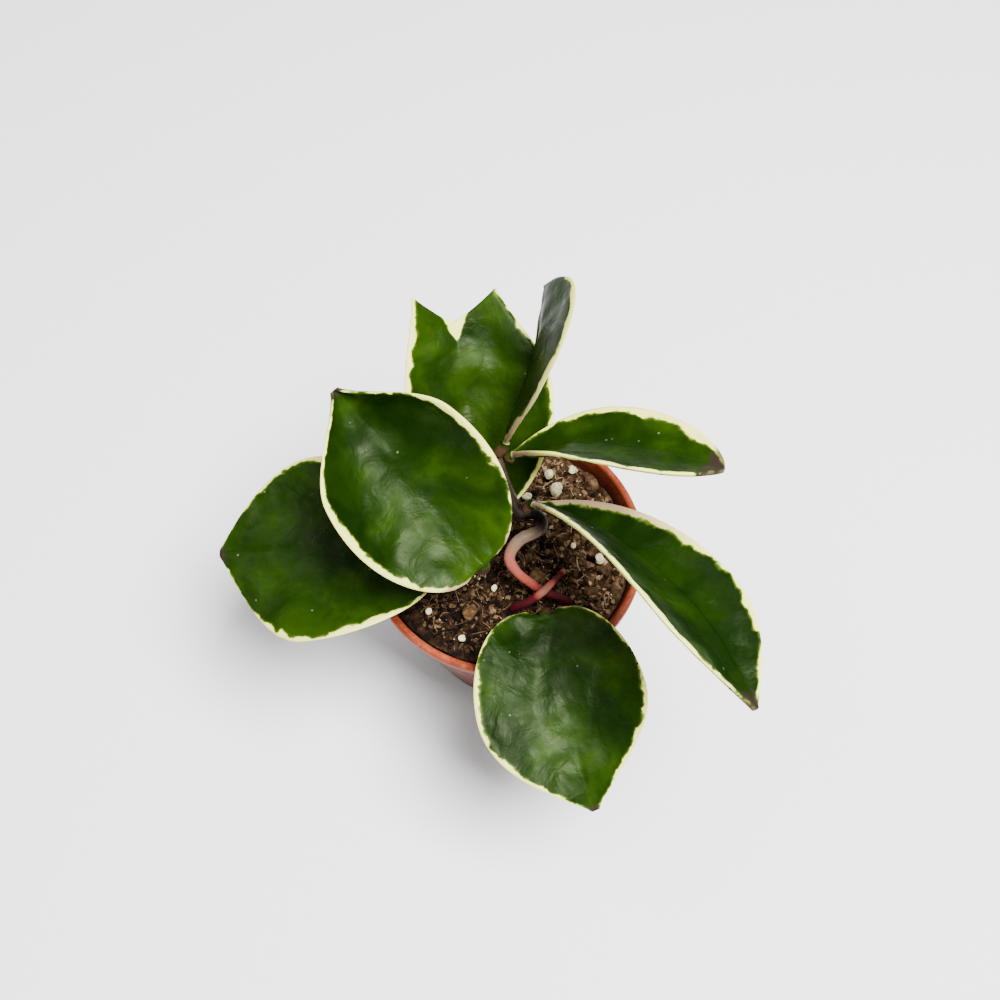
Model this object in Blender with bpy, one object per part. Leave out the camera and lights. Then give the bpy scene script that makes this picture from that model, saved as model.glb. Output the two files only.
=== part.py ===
"""Potted hoya: a young variegated wax plant in a small plastic nursery pot.

Units are metres, +Z is up. The origin is the centre of the pot's underside, so the pot
stands on the XY plane. -Y is the front, the side over which the heart-shaped leaf hangs.
"""
import math
import random

import bmesh
import bpy
from mathutils import Matrix, Vector

MM = 0.001

# Pot
RIM_Z = 48.0                 # top of the lip above the ground, mm
RIM_RADIUS = 30.0            # outer radius of the lip
RIM_BAND = 2.2               # height of the thickened band below the lip
LIP_WIDTH = 1.7
BASE_RADIUS = 18.6
WALL = 0.9
FLOOR = 1.2
DRAIN_HOLES = 6
DRAIN_RADIUS = 2.2
DRAIN_CIRCLE = 11.5
POT_SEGMENTS = 60

# Clearance between pieces that touch on the real plant
GAP = 0.3

# Soil: its top leans, low at the back right and high at the front left
SOIL_CENTRE_Z = 45.4
SOIL_SLOPE = 0.053           # fall per millimetre of x and of y
SOIL_RINGS = 7

# Leaves
LEAF_ROWS = 16               # rows along a blade
LEAF_STRIPS = 4              # strips on each side of the midrib
PETIOLE_ROWS = 5
BLADE_THICKNESS = 1.3
EDGE_THICKNESS = 0.8

COLOURS = {
    "pot_plastic": ((0.60, 0.17, 0.085, 1), 0.45),
    "peat": ((0.045, 0.024, 0.014, 1), 0.95),
    "stem_skin": ((0.42, 0.12, 0.09, 1), 0.50),
    "leaf_skin": ((0.045, 0.12, 0.012, 1), 0.32),
    "perlite": ((0.80, 0.78, 0.70, 1), 0.90),
    "bark": ((0.16, 0.075, 0.035, 1), 0.85),
}


def vec(point):
    """A point in millimetres as a Blender vector in metres."""
    return Vector(point) * MM


def mix(pair, t):
    """The value a part t of the way from a pair's first number to its second."""
    return pair[0] + (pair[1] - pair[0]) * t


def clear_scene():
    for old in list(bpy.data.objects):
        bpy.data.objects.remove(old, do_unlink=True)


def material(name):
    """The named Principled material, made on first use."""
    found = bpy.data.materials.get(name)
    if found:
        return found
    colour, roughness = COLOURS[name]
    made = bpy.data.materials.new(name)
    made.use_nodes = True
    shader = made.node_tree.nodes["Principled BSDF"]
    shader.inputs["Base Color"].default_value = colour
    shader.inputs["Roughness"].default_value = roughness
    shader.inputs["Metallic"].default_value = 0.0
    return made


def add_object(name, data, material_name):
    """Link mesh or curve data into the scene under a name and a material."""
    data.materials.append(material(material_name))
    made = bpy.data.objects.new(name, data)
    bpy.context.scene.collection.objects.link(made)
    return made


def mesh_object(name, build, material_name, smooth=40):
    """Close a bmesh into an object, faces outward, creases sharper than `smooth` degrees."""
    bmesh.ops.recalc_face_normals(build, faces=build.faces)
    data = bpy.data.meshes.new(name)
    build.to_mesh(data)
    build.free()
    data.shade_smooth()
    data.set_sharp_from_angle(angle=math.radians(smooth))
    return add_object(name, data, material_name)


def cutter(name, start, end, radius, sides=16):
    """A hidden cylinder from one point to another, used only to cut holes."""
    axis = vec(end) - vec(start)
    build = bmesh.new()
    bmesh.ops.create_cone(build, cap_ends=True, segments=sides, radius1=radius * MM,
                          radius2=radius * MM, depth=axis.length)
    made = mesh_object(name, build, "peat")
    made.location = (vec(start) + vec(end)) / 2
    made.rotation_mode = "QUATERNION"
    made.rotation_quaternion = axis.to_track_quat("Z", "Y")
    made.hide_render = True
    made.display_type = "WIRE"
    return made


def cut(target, tool):
    step = target.modifiers.new("cut_" + tool.name, "BOOLEAN")
    step.operation = "DIFFERENCE"
    step.solver = "EXACT"
    step.object = tool


# ---------------------------------------------------------------- pot

def inner_radius(z):
    """Inside radius of the pot's wall at a height."""
    t = (z - FLOOR) / (RIM_Z - FLOOR)
    return mix((BASE_RADIUS - WALL, RIM_RADIUS - LIP_WIDTH), t)


def turned(name, profile, material_name):
    """A solid of revolution: (radius, z) pairs, from the axis outward and back to it."""
    build = bmesh.new()
    points = [build.verts.new(vec((radius, 0, z))) for radius, z in profile]
    lines = [build.edges.new(pair) for pair in zip(points, points[1:])]
    bmesh.ops.spin(build, geom=points + lines, cent=(0, 0, 0), axis=(0, 0, 1),
                   angle=math.tau, steps=POT_SEGMENTS, use_merge=True)
    bmesh.ops.remove_doubles(build, verts=build.verts, dist=0.00001)
    return mesh_object(name, build, material_name)


def make_pot():
    lip = LIP_WIDTH / 2
    crown = RIM_RADIUS - lip
    profile = [(0, 0), (BASE_RADIUS - 0.8, 0), (BASE_RADIUS, 0.8)]
    profile.append((RIM_RADIUS - WALL, RIM_Z - RIM_BAND - 0.6))
    profile.append((RIM_RADIUS, RIM_Z - RIM_BAND))
    for step in range(6):
        angle = math.pi * step / 5
        profile.append((crown + lip * math.cos(angle), RIM_Z - lip + lip * math.sin(angle)))
    profile.append((inner_radius(FLOOR), FLOOR))
    profile.append((0, FLOOR))
    pot = turned("pot", profile, "pot_plastic")
    for hole in range(DRAIN_HOLES):
        angle = math.tau * hole / DRAIN_HOLES
        x = DRAIN_CIRCLE * math.cos(angle)
        y = DRAIN_CIRCLE * math.sin(angle)
        cut(pot, cutter("drain_cut_%d" % hole, (x, y, -2), (x, y, FLOOR + 2), DRAIN_RADIUS))


# ---------------------------------------------------------------- soil

def soil_height(x, y):
    """Height of the peat's top: a leaning plane with low, broad mounds."""
    mounds = 0.30 * math.sin(x * 0.33 + 1.0) * math.cos(y * 0.29) + 0.18 * math.sin(x * 0.7 - y * 0.6)
    return SOIL_CENTRE_Z - SOIL_SLOPE * (x + y) + mounds


def make_soil():
    """The peat plug: fills the pot, GAP clear of its wall and floor."""
    bottom = FLOOR + GAP
    build = bmesh.new()
    centre = build.verts.new(vec((0, 0, soil_height(0, 0))))
    rings = []
    for ring in range(1, SOIL_RINGS + 1):
        rings.append([])
        for step in range(POT_SEGMENTS):
            angle = math.tau * step / POT_SEGMENTS
            edge = inner_radius(soil_height(26 * math.cos(angle), 26 * math.sin(angle))) - GAP
            radius = edge * ring / SOIL_RINGS
            x = radius * math.cos(angle)
            y = radius * math.sin(angle)
            rings[-1].append(build.verts.new(vec((x, y, soil_height(x, y)))))
    radius = inner_radius(bottom) - GAP
    rings.append([])
    for step in range(POT_SEGMENTS):
        angle = math.tau * step / POT_SEGMENTS
        low_point = (radius * math.cos(angle), radius * math.sin(angle), bottom)
        rings[-1].append(build.verts.new(vec(low_point)))
    for step in range(POT_SEGMENTS):
        after = (step + 1) % POT_SEGMENTS
        build.faces.new((centre, rings[0][step], rings[0][after]))
        for inner, outer in zip(rings, rings[1:]):
            build.faces.new((inner[step], outer[step], outer[after], inner[after]))
    build.faces.new(rings[-1])
    return mesh_object("soil", build, "peat")


# ---------------------------------------------------------------- stems

# Each stem: (x, y, z, radius) along its middle. The first point is its buried end.
STEMS = {
    "stem_main": [
        (13.2, -12.4, 41.5, 0.9), (13.5, -13.0, 46.0, 0.9), (11.2, -13.0, 48.6, 0.9),
        (8.3, -12.5, 50.0, 0.9), (5.0, -11.2, 52.0, 0.95), (2.2, -9.8, 54.5, 1.0),
        (0.8, -8.2, 57.0, 1.15), (1.6, -6.4, 58.9, 1.25), (3.3, -4.9, 60.0, 1.25),
        (5.6, -3.9, 60.2, 1.2), (7.4, -2.5, 60.0, 1.15), (7.3, -0.4, 60.0, 1.15),
        (5.5, 0.6, 60.4, 1.2), (3.5, -0.1, 61.5, 1.2), (2.2, -0.9, 63.8, 1.2),
        (1.2, -0.2, 67.4, 1.2), (-0.6, 2.6, 72.0, 1.15), (-2.0, 4.6, 75.6, 1.3),
        (-2.2, 4.8, 76.6, 0.8),
    ],
    "stem_left": [
        (-6.2, -4.6, 41.5, 1.1), (-6.8, -5.0, 46.0, 1.2), (-7.8, -5.6, 50.0, 1.2),
        (-9.0, -6.4, 53.4, 1.4), (-9.2, -6.6, 54.6, 0.9),
    ],
    "stem_runner": [
        (12.8, -5.2, 41.5, 0.65), (12.6, -5.8, 45.8, 0.65), (11.2, -8.7, 49.4, 0.65),
        (8.2, -13.2, 52.6, 0.8), (6.0, -14.6, 51.4, 0.85), (3.8, -15.0, 49.2, 0.95),
        (1.9, -14.8, 46.6, 0.85), (1.6, -14.7, 42.0, 0.8),
    ],
}
# The stretches that stand in the soil: stem name, buried point, a point above the soil
SOCKETS = [
    ("stem_main", 0, 1), ("stem_left", 0, 1), ("stem_runner", 0, 1), ("stem_runner", 7, 6),
]


def make_stem(name):
    """A round stem: a curve through its points, with the stem's own radius at each."""
    points = STEMS[name]
    data = bpy.data.curves.new(name, "CURVE")
    data.dimensions = "3D"
    data.resolution_u = 3
    data.bevel_depth = MM
    data.bevel_resolution = 2
    data.use_fill_caps = True
    path = data.splines.new("BEZIER")
    path.bezier_points.add(len(points) - 1)
    for handle, (x, y, z, radius) in zip(path.bezier_points, points):
        handle.co = vec((x, y, z))
        handle.radius = radius
        handle.handle_left_type = "AUTO"
        handle.handle_right_type = "AUTO"
    add_object(name, data, "stem_skin")


def cut_socket(soil, name, buried, above, radius):
    """A straight socket in the soil round a buried stem end."""
    start = Vector(buried)
    along = (Vector(above) - start).normalized()
    tool = cutter(name, start - along * GAP, Vector(above) + along * 3, radius)
    cut(soil, tool)


# ---------------------------------------------------------------- leaves

# A blade leaves its base point along a heading (degrees from +X towards +Y) and a rise
# (degrees above level), each given at the base and at the tip. Its roll lifts the left half.
# The halves lean up from the midrib by `fold` and curl on by `cup`, both base and tip.
# Widths and the like that come in pairs after that are for the left and the right half.
LEAVES = {
    "leaf_back": dict(
        base=(-1.5, 0.5, 62), heading=(114, 102), rise=(39, 39), roll=(-15, 13),
        length=39.5, width=(14, 17.5), widest=0.6, base_round=0.65, tip_round=1.3,
        tip_width=(0.6, 0.55), tip_lobe=(6, 5.5), fold=(17, 8), cup=(25, 13),
        petiole=[(-0.6, -0.5, 61.4), (-1.0, -0.3, 61.5)]),
    "leaf_upright": dict(
        base=(-0.2, 6.1, 79.9), heading=(62.5, 84), rise=(48, 8.5), roll=(96, 97),
        length=32, width=(15.7, 7.0), widest=0.61, base_round=1.08, tip_round=0.44,
        fold=(9, 14.5), cup=(6.5, 16.5),
        petiole=[(-1.7, 5.0, 77.5), (-1.5, 5.2, 78.1)]),
    "leaf_right_top": dict(
        base=(1.2, 5.0, 77.0), heading=(-3.5, -27), rise=(24, 13.5), roll=(-29, -14.5),
        length=42.3, width=(9.7, 12.7), widest=0.5, base_round=1.0, tip_round=0.7,
        fold=(25, 10), cup=(16, 16),
        petiole=[(0.5, 4.7, 75.9), (0.8, 4.8, 76.2)]),
    "leaf_right_long": dict(
        base=(5.5, -1, 67.5), heading=(-35, -68), rise=(31, -1), roll=(-16, -20),
        length=64, width=(10, 15.5), widest=0.67, base_round=1.15, tip_round=1.2,
        fold=(38, 20), cup=(14, 16),
        petiole=[(4.0, -0.9, 65.2), (4.4, -0.9, 66.1)]),
    "leaf_front": dict(
        base=(8, -19.5, 52), heading=(-81, -67), rise=(-4, -26), roll=(5, 5),
        length=39.5, width=(17.5, 18), widest=0.45, base_round=0.5, tip_round=1.25,
        base_width=(0.22, 0.22), lobe=(1.7, 1.8), fold=(10, 3), cup=(16, 18),
        petiole=[(9.4, -15.6, 41.5), (9.2, -16.2, 50.5)]),
    "leaf_left_top": dict(
        base=(-4.5, -15, 70), heading=(134, 136), rise=(16, 25), roll=(-20, -16),
        length=44, width=(20, 19), widest=0.6, base_round=0.55, tip_round=1.25,
        base_width=(0.25, 0.18), lobe=(1.2, 0.8), fold=(-2, 38), cup=(19, 46),
        petiole=[(-8.6, -7.7, 54.6), (-4.0, -14.5, 63.0)]),
    "leaf_left_low": dict(
        base=(-14, -9, 55), heading=(173, 180), rise=(6, -9), roll=(2, -18),
        length=46, width=(20, 20.5), widest=0.55, base_round=0.5, tip_round=1.05,
        base_width=(0.15, 0.15), fold=(12, -1), cup=(18, 9),
        petiole=[(-10.9, -7.4, 53.4), (-12.0, -8.6, 54.6)]),
}
PETIOLE_RADIUS = 1.1
NARROWEST = 0.05             # a blade's end rows keep this part of the full width


def half_width(leaf, side, s):
    """Width of one half of the blade, a part s of the way from base to tip."""
    widest = leaf["widest"]
    if s < widest:
        least = leaf.get("base_width", (NARROWEST, NARROWEST))[side]
        shape = (1 - (1 - s / widest) ** 2) ** leaf["base_round"]
    else:
        least = leaf.get("tip_width", (NARROWEST, NARROWEST))[side]
        shape = (1 - ((s - widest) / (1 - widest)) ** 2) ** leaf["tip_round"]
    return leaf["width"][side] * (least + (1 - least) * shape)


def blade_frame(leaf, s):
    """Forward, left and face directions of the blade at s."""
    heading = math.radians(mix(leaf["heading"], s))
    rise = math.radians(mix(leaf["rise"], s))
    roll = math.radians(mix(leaf["roll"], s))
    forward = Vector((math.cos(rise) * math.cos(heading), math.cos(rise) * math.sin(heading),
                      math.sin(rise)))
    level = Vector((-math.sin(heading), math.cos(heading), 0))
    upright = forward.cross(level)
    left = level * math.cos(roll) + upright * math.sin(roll)
    return forward, left, forward.cross(left)


def midrib(leaf):
    """Points along the midrib, stepping forward by the blade's own direction."""
    points = [Vector(leaf["base"])]
    step = leaf["length"] / LEAF_ROWS
    for row in range(LEAF_ROWS):
        forward = blade_frame(leaf, (row + 0.5) / LEAF_ROWS)[0]
        points.append(points[-1] + forward * step)
    return points


def blade_ring(leaf, middle, s):
    """The closed outline of the blade's section at s: its face, then its underside."""
    forward, left, face = blade_frame(leaf, s)
    fold = math.radians(mix(leaf["fold"], s))
    cup = math.radians(mix(leaf["cup"], s))
    halves = []
    for side, sign in ((0, 1), (1, -1)):
        strip = half_width(leaf, side, s) / LEAF_STRIPS
        across = height = 0.0
        points = []
        for number in range(1, LEAF_STRIPS + 1):
            v = number / LEAF_STRIPS
            lean = fold + cup * (v - 0.5 / LEAF_STRIPS)
            across += strip * math.cos(lean)
            height += strip * math.sin(lean)
            slide = leaf.get("tip_lobe", (0, 0))[side] * v ** 1.3 * s ** 6
            slide -= leaf.get("lobe", (0, 0))[side] * v ** 1.5 * (1 - s) ** 4
            point = middle + left * across * sign + face * height + forward * slide
            normal = face * math.cos(lean) - left * sign * math.sin(lean)
            half_thickness = mix((BLADE_THICKNESS, EDGE_THICKNESS), v * v) / 2
            points.append((point, normal * half_thickness))
        halves.append(points)
    spine = [(middle, face * BLADE_THICKNESS / 2)]
    section = halves[0][::-1] + spine + halves[1]
    upper = [point + offset for point, offset in section]
    under = [point - offset for point, offset in reversed(section)]
    return upper + under


def petiole_rings(leaf):
    """Round rings along the leaf's stalk, turned to run smoothly into the blade."""
    forward, left, face = blade_frame(leaf, 0)
    start, lead = (Vector(point) for point in leaf["petiole"])
    base = Vector(leaf["base"])
    arrive = base - forward * 1.6
    count = 2 * LEAF_STRIPS + 1
    rings = []
    for row in range(PETIOLE_ROWS):
        t = row / PETIOLE_ROWS
        u = 1 - t
        middle = (start * u ** 3 + lead * 3 * u * u * t + arrive * 3 * u * t * t
                  + base * t ** 3)
        along = ((lead - start) * u * u + (arrive - lead) * 2 * u * t
                 + (base - arrive) * t * t).normalized()
        side = (left - along * left.dot(along)).normalized()
        top = along.cross(side)
        ring = []
        for number in range(2 * count):
            angle = math.pi * (number + 0.5) / count
            ring.append(middle + (side * math.cos(angle) + top * math.sin(angle)) * PETIOLE_RADIUS)
        rings.append(ring)
    return rings


def make_leaf(name):
    """One leaf, stalk and blade, lofted through its rings and capped at both ends."""
    leaf = LEAVES[name]
    rings = petiole_rings(leaf)
    for row, middle in enumerate(midrib(leaf)):
        rings.append(blade_ring(leaf, middle, row / LEAF_ROWS))
    build = bmesh.new()
    loops = [[build.verts.new(vec(point)) for point in ring] for ring in rings]
    for first, second in zip(loops, loops[1:]):
        for here in range(len(first)):
            after = (here + 1) % len(first)
            build.faces.new((first[here], first[after], second[after], second[here]))
    build.faces.new(loops[0])
    build.faces.new(loops[-1])
    bmesh.ops.triangulate(build, faces=build.faces)
    return mesh_object(name, build, "leaf_skin", smooth=50)


# ---------------------------------------------------------------- grains and chips

# (x, y, size) of each loose piece on the soil, size being its longest measure
PERLITE = [
    (11.2, 14.3, 3.7), (9.6, 18.6, 2.6), (15.2, 20.0, 2.4), (4.7, 12.5, 2.4), (20.4, -2.9, 2.5),
    (14.8, 0.6, 1.6), (4.4, -18.3, 1.7), (-2.4, -10.4, 1.8), (-8.9, -22.3, 1.8), (-16.0, -16.4, 1.7),
]
BARK = [
    (6.8, -7.4, 4.2), (-7.4, -16.2, 4.6), (18.2, -10.4, 3.8), (19.4, 5.2, 3.6),
    (-15.0, 9.0, 4.4),
]


def settle(build, x, y):
    """Lower a piece at x, y until it lies GAP above the soil."""
    lowest = min(v.co.z / MM - soil_height(x + v.co.x / MM, y + v.co.y / MM) for v in build.verts)
    bmesh.ops.translate(build, verts=build.verts, vec=vec((0, 0, GAP + 0.06 - lowest)))


def loose_piece(name, x, y, size, flat, rough, material_name, chance):
    """A rough lump: a ball of facets, squashed, turned and knocked about a little."""
    build = bmesh.new()
    bmesh.ops.create_icosphere(build, subdivisions=1 if flat < 0.6 else 2, radius=size / 2 * MM)
    turn = chance.uniform(0, math.tau)
    for vertex in build.verts:
        vertex.co *= 1 + chance.uniform(-rough, rough)
        vertex.co.z *= flat
        vertex.co.y *= 0.72
    bmesh.ops.rotate(build, verts=build.verts, matrix=Matrix.Rotation(turn, 3, "Z"))
    settle(build, x, y)
    made = mesh_object(name, build, material_name, smooth=25)
    made.location = vec((x, y, 0))


def make_loose_pieces():
    chance = random.Random(7)
    for number, (x, y, size) in enumerate(PERLITE, 1):
        loose_piece("perlite_%02d" % number, x, y, size, 0.8, 0.12, "perlite", chance)
    for number, (x, y, size) in enumerate(BARK, 1):
        loose_piece("bark_%d" % number, x, y, size, 0.4, 0.15, "bark", chance)


def main():
    clear_scene()
    make_pot()
    soil = make_soil()
    for name in STEMS:
        make_stem(name)
    for number, (name, low, high) in enumerate(SOCKETS):
        points = STEMS[name]
        radius = max(points[low][3], points[high][3]) + GAP + 0.3
        cut_socket(soil, "socket_cut_%d" % number, points[low][:3], points[high][:3], radius)
    for name in LEAVES:
        make_leaf(name)
    buried, above = LEAVES["leaf_front"]["petiole"]
    cut_socket(soil, "socket_cut_leaf", buried, above, PETIOLE_RADIUS + GAP + 0.25)
    make_loose_pieces()


main()
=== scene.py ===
"""Looks of the potted hoya: glossy cream-edged leaves, soft stems, peat, perlite and pot.

Sizes are in millimetres until `place` turns them into metres. The pot's underside is at the
origin, +Z is up and -Y is the front. Every piece rides on the one body, root.
"""
import math
import random

import bmesh
import bpy
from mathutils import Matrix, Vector, noise


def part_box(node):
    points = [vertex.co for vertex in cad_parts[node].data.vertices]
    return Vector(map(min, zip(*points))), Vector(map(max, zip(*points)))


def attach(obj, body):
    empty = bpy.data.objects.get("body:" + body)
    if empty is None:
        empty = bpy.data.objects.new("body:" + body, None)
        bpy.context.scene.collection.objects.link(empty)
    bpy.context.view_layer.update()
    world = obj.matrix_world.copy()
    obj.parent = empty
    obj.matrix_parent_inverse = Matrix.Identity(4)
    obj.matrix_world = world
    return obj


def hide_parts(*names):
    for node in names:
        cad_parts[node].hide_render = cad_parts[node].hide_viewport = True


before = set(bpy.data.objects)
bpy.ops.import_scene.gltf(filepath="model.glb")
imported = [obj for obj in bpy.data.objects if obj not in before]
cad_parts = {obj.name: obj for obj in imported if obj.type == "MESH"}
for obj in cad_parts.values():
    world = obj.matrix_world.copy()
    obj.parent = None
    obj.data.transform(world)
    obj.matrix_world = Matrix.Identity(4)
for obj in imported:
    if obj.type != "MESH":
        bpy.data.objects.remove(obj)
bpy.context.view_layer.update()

MM = 0.001

# Pot and soil
RIM_Z = 48.0
RIM_RADIUS = 30.0
RIM_BAND = 2.2
LIP_WIDTH = 1.7
BASE_RADIUS = 18.6
WALL = 0.9
FLOOR = 1.2
DRAIN_HOLES = 6
DRAIN_RADIUS = 2.2
DRAIN_CIRCLE = 11.5
GAP = 0.3
SOIL_CENTRE_Z = 45.4
SOIL_SLOPE = 0.053

# Leaves
LEAF_ROWS = 80
LEAF_STRIPS = 20
PETIOLE_ROWS = 10
BLADE_THICKNESS = 1.3
EDGE_THICKNESS = 0.8
PETIOLE_RADIUS = 1.1
NARROWEST = 0.05
DRY_TIP = 0.96                # part of the blade at which the tip turns dark and dry


def mix(pair, t):
    """The value a part t of the way from a pair's first number to its second."""
    return pair[0] + (pair[1] - pair[0]) * t


def place(point):
    """A point in millimetres as a vector in metres."""
    return Vector(point) * MM


def deselect():
    bpy.ops.object.select_all(action="DESELECT")


def finish_piece(piece, slot, *nodes):
    """Common end of every piece: it rides on the root and hides the CAD nodes it stands for; slot is not used.
    """
    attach(piece, "root")
    if nodes:
        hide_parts(*nodes)
    return piece


def mesh_piece(name, points, faces, material, smooth=180):
    """A piece from points in millimetres and faces, outward and smooth."""
    data = bpy.data.meshes.new(name)
    data.from_pydata([place(point) for point in points], [], faces)
    data.materials.append(material)
    build = bmesh.new()
    build.from_mesh(data)
    bmesh.ops.recalc_face_normals(build, faces=build.faces)
    build.to_mesh(data)
    build.free()
    data.shade_smooth()
    if smooth < 180:
        data.set_sharp_from_angle(angle=math.radians(smooth))
    piece = bpy.data.objects.new(name, data)
    bpy.context.scene.collection.objects.link(piece)
    return piece


def write_attribute(piece, name, values):
    """One number per vertex, for the piece's material to read."""
    layer = piece.data.attributes.new(name, "FLOAT", "POINT")
    layer.data.foreach_set("value", values)


def wobble(x, y, z, size):
    """Smooth noise, about -1 to 1, with bumps `size` millimetres across."""
    return noise.noise(Vector((x / size, y / size, z / size)))


# ---------------------------------------------------------------- materials

def effect_group(name, inputs, output, kind="NodeSocketFloat"):
    """An empty effect group with named number inputs and one named output."""
    tree = bpy.data.node_groups.new(name, "ShaderNodeTree")
    for label, default in inputs.items():
        socket = tree.interface.new_socket(label, in_out="INPUT", socket_type="NodeSocketFloat")
        socket.default_value = default
    tree.interface.new_socket(output, in_out="OUTPUT", socket_type=kind)
    return tree, tree.nodes.new("NodeGroupInput").outputs, tree.nodes.new("NodeGroupOutput").inputs


def build_grain():
    """Grain that every skin shares: noise in the piece's own space, sized in millimetres."""
    inputs = {"Size mm": 1.0, "Detail": 4.0, "Roughness": 0.55, "Swirl": 0.0}
    tree, given, result = effect_group("grain", inputs, "Amount")
    place = tree.nodes.new("ShaderNodeTexCoord")
    scale = tree.nodes.new("ShaderNodeMath")
    scale.operation = "DIVIDE"
    scale.inputs[0].default_value = 1 / MM
    texture = tree.nodes.new("ShaderNodeTexNoise")
    for source, target in ((given["Size mm"], scale.inputs[1]),
                           (place.outputs["Object"], texture.inputs["Vector"]),
                           (scale.outputs[0], texture.inputs["Scale"]),
                           (given["Detail"], texture.inputs["Detail"]),
                           (given["Roughness"], texture.inputs["Roughness"]),
                           (given["Swirl"], texture.inputs["Distortion"]),
                           (texture.outputs["Fac"], result["Amount"])):
        tree.links.new(source, target)
    return tree


def build_uneven_polish():
    """Roughness that wanders between two values with a grain."""
    inputs = {"Amount": 0.5, "Smoothest": 0.3, "Dullest": 0.6}
    tree, given, result = effect_group("uneven_polish", inputs, "Roughness")
    spread = tree.nodes.new("ShaderNodeMapRange")
    spread.inputs["From Min"].default_value = 0.35
    spread.inputs["From Max"].default_value = 0.65
    for source, target in ((given["Amount"], spread.inputs["Value"]),
                           (given["Smoothest"], spread.inputs["To Min"]),
                           (given["Dullest"], spread.inputs["To Max"]),
                           (spread.outputs["Result"], result["Roughness"])):
        tree.links.new(source, target)
    return tree


def build_pitting():
    """Small dents and swells from a height, so many millimetres deep."""
    inputs = {"Height": 0.5, "Depth mm": 0.2, "Strength": 1.0}
    tree, given, result = effect_group("pitting", inputs, "Normal", "NodeSocketVector")
    depth = tree.nodes.new("ShaderNodeMath")
    depth.operation = "MULTIPLY"
    depth.inputs[1].default_value = MM
    dent = tree.nodes.new("ShaderNodeBump")
    for source, target in ((given["Height"], dent.inputs["Height"]),
                           (given["Depth mm"], depth.inputs[0]),
                           (depth.outputs[0], dent.inputs["Distance"]),
                           (given["Strength"], dent.inputs["Strength"]),
                           (dent.outputs["Normal"], result["Normal"])):
        tree.links.new(source, target)
    return tree


GRAIN = build_grain()
UNEVEN_POLISH = build_uneven_polish()
PITTING = build_pitting()


class Nodes:
    """Short ways to add and link the nodes of one material."""

    def __init__(self, name):
        self.material = bpy.data.materials.new(name)
        self.material.use_nodes = True
        self.tree = self.material.node_tree
        self.shader = self.tree.nodes["Principled BSDF"]

    def add(self, kind, **settings):
        made = self.tree.nodes.new(kind)
        for key, value in settings.items():
            setattr(made, key, value)
        return made

    def link(self, source, target):
        self.tree.links.new(source, target)

    def set(self, node, values):
        for key, value in values.items():
            if isinstance(value, bpy.types.NodeSocket):
                self.link(value, node.inputs[key])
            else:
                node.inputs[key].default_value = value

    def effect(self, group, values):
        """One of the shared effect groups with this material's own values."""
        made = self.add("ShaderNodeGroup", node_tree=group)
        self.set(made, values)
        return made.outputs[0]

    def grain(self, size_mm, detail=4.0, rough=0.55, swirl=0.0):
        return self.effect(GRAIN, {"Size mm": size_mm, "Detail": detail, "Roughness": rough,
                                   "Swirl": swirl})

    def polish(self, amount, smoothest, dullest):
        rough = self.effect(UNEVEN_POLISH, {"Amount": amount, "Smoothest": smoothest, "Dullest": dullest})
        self.link(rough, self.shader.inputs["Roughness"])

    def pit(self, height, depth_mm, strength=1.0):
        normal = self.effect(PITTING, {"Height": height, "Depth mm": depth_mm, "Strength": strength})
        self.link(normal, self.shader.inputs["Normal"])

    def place(self):
        """The piece's own coordinates, in metres."""
        return self.add("ShaderNodeTexCoord").outputs["Object"]

    def attribute(self, name):
        return self.add("ShaderNodeAttribute", attribute_name=name).outputs["Fac"]

    def maths(self, operation, first, second=0.0, third=0.0):
        made = self.add("ShaderNodeMath", operation=operation)
        self.set(made, {0: first, 1: second, 2: third})
        return made.outputs[0]

    def ramp(self, value, low, high):
        """0 below `low`, 1 above `high`, smooth between."""
        made = self.add("ShaderNodeMapRange", interpolation_type="SMOOTHSTEP")
        self.set(made, {"Value": value, "From Min": low, "From Max": high})
        return made.outputs["Result"]

    def colours(self, value, stops):
        """A colour ramp from (place, colour) stops."""
        made = self.add("ShaderNodeValToRGB")
        band = made.color_ramp
        while len(band.elements) < len(stops):
            band.elements.new(0.5)
        for element, (spot, colour) in zip(band.elements, stops):
            element.position = spot
            element.color = (*colour, 1)
        self.link(value, made.inputs["Fac"])
        return made.outputs["Color"]

    def blend(self, amount, first, second):
        made = self.add("ShaderNodeMix", data_type="RGBA")
        made.inputs[0].default_value = 0.5
        for socket, value in ((made.inputs[0], amount), (made.inputs[6], first), (made.inputs[7], second)):
            if isinstance(value, bpy.types.NodeSocket):
                self.link(value, socket)
            elif isinstance(value, tuple):
                socket.default_value = (*value, 1)
            else:
                socket.default_value = value
        return made.outputs[2]


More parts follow.
